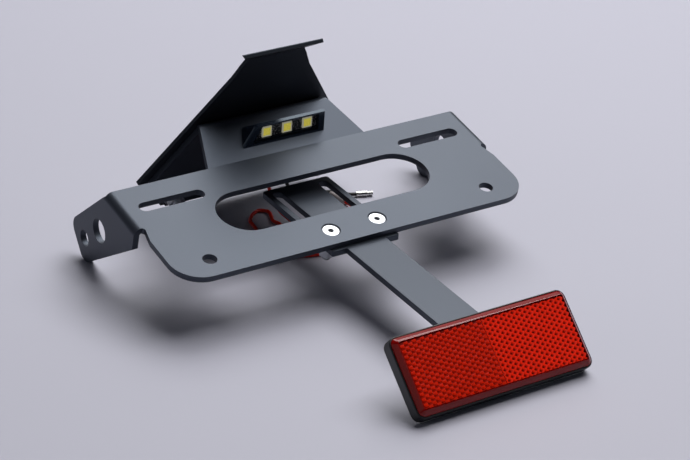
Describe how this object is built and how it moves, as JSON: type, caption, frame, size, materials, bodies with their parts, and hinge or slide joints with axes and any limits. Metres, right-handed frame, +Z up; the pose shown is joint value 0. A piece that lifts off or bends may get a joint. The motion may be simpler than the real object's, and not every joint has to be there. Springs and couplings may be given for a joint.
{
  "type": "motorbike tail tidy",
  "caption": "Folded plate carrier with window, slots, indicator ears and plate light, a bolted tail bracket and a reflector on a slotted arm.",
  "frame": {"origin": "on the table under the middle of the part, leads apart", "axes": "+X to the rider's right, +Y to the bike's rear, +Z up; the part stands on its two ear corners and the reflector's lower edge"},
  "size_m": [0.196, 0.2338, 0.0954],
  "materials": {
    "carrier_finish": "satin black powder coat",
    "bracket_finish": "satin black powder coat",
    "arm_finish": "satin black powder coat",
    "reflector_plastic": "fine moulded grain",
    "red_lens": "clear red, prismatic",
    "light_plastic": "smooth black",
    "clear_cover": "clear",
    "circuit_board": "dark board",
    "light_chip": "yellow gel in a white frame",
    "bright_screw": "bright stainless",
    "zinc_steel": "zinc plated",
    "red_insulation": "smooth",
    "black_insulation": "smooth",
    "pale_sleeve": "translucent sleeve",
    "bright_plug": "bright plated"
  },
  "bodies": {
    "root": {"plate_bracket": "carrier_finish", "tail_bracket": "bracket_finish", "reflector_arm": "arm_finish", "reflector_housing": "reflector_plastic", "reflector_lens": "red_lens", "reflector_stud": "zinc_steel", "reflector_washer": "zinc_steel", "reflector_nut": "zinc_steel", "arm_screw_left": "bright_screw", "arm_screw_right": "bright_screw", "arm_washer_left": "zinc_steel", "arm_washer_right": "zinc_steel", "arm_nut_left": "zinc_steel", "arm_nut_right": "zinc_steel", "light_housing": "light_plastic", "light_cover": "clear_cover", "light_board": "circuit_board", "light_chip_left": "light_chip", "light_chip_middle": "light_chip", "light_chip_right": "light_chip", "light_screw_left": "zinc_steel", "light_screw_right": "zinc_steel", "bracket_bolt_left": "zinc_steel", "bracket_bolt_right": "zinc_steel", "bracket_washer_left": "zinc_steel", "bracket_washer_right": "zinc_steel", "bracket_nut_left": "zinc_steel", "bracket_nut_right": "zinc_steel", "lead_red": "red_insulation", "lead_black": "black_insulation", "plug_red": "pale_sleeve", "plug_black": "bright_plug"}
  },
  "joints": []
}
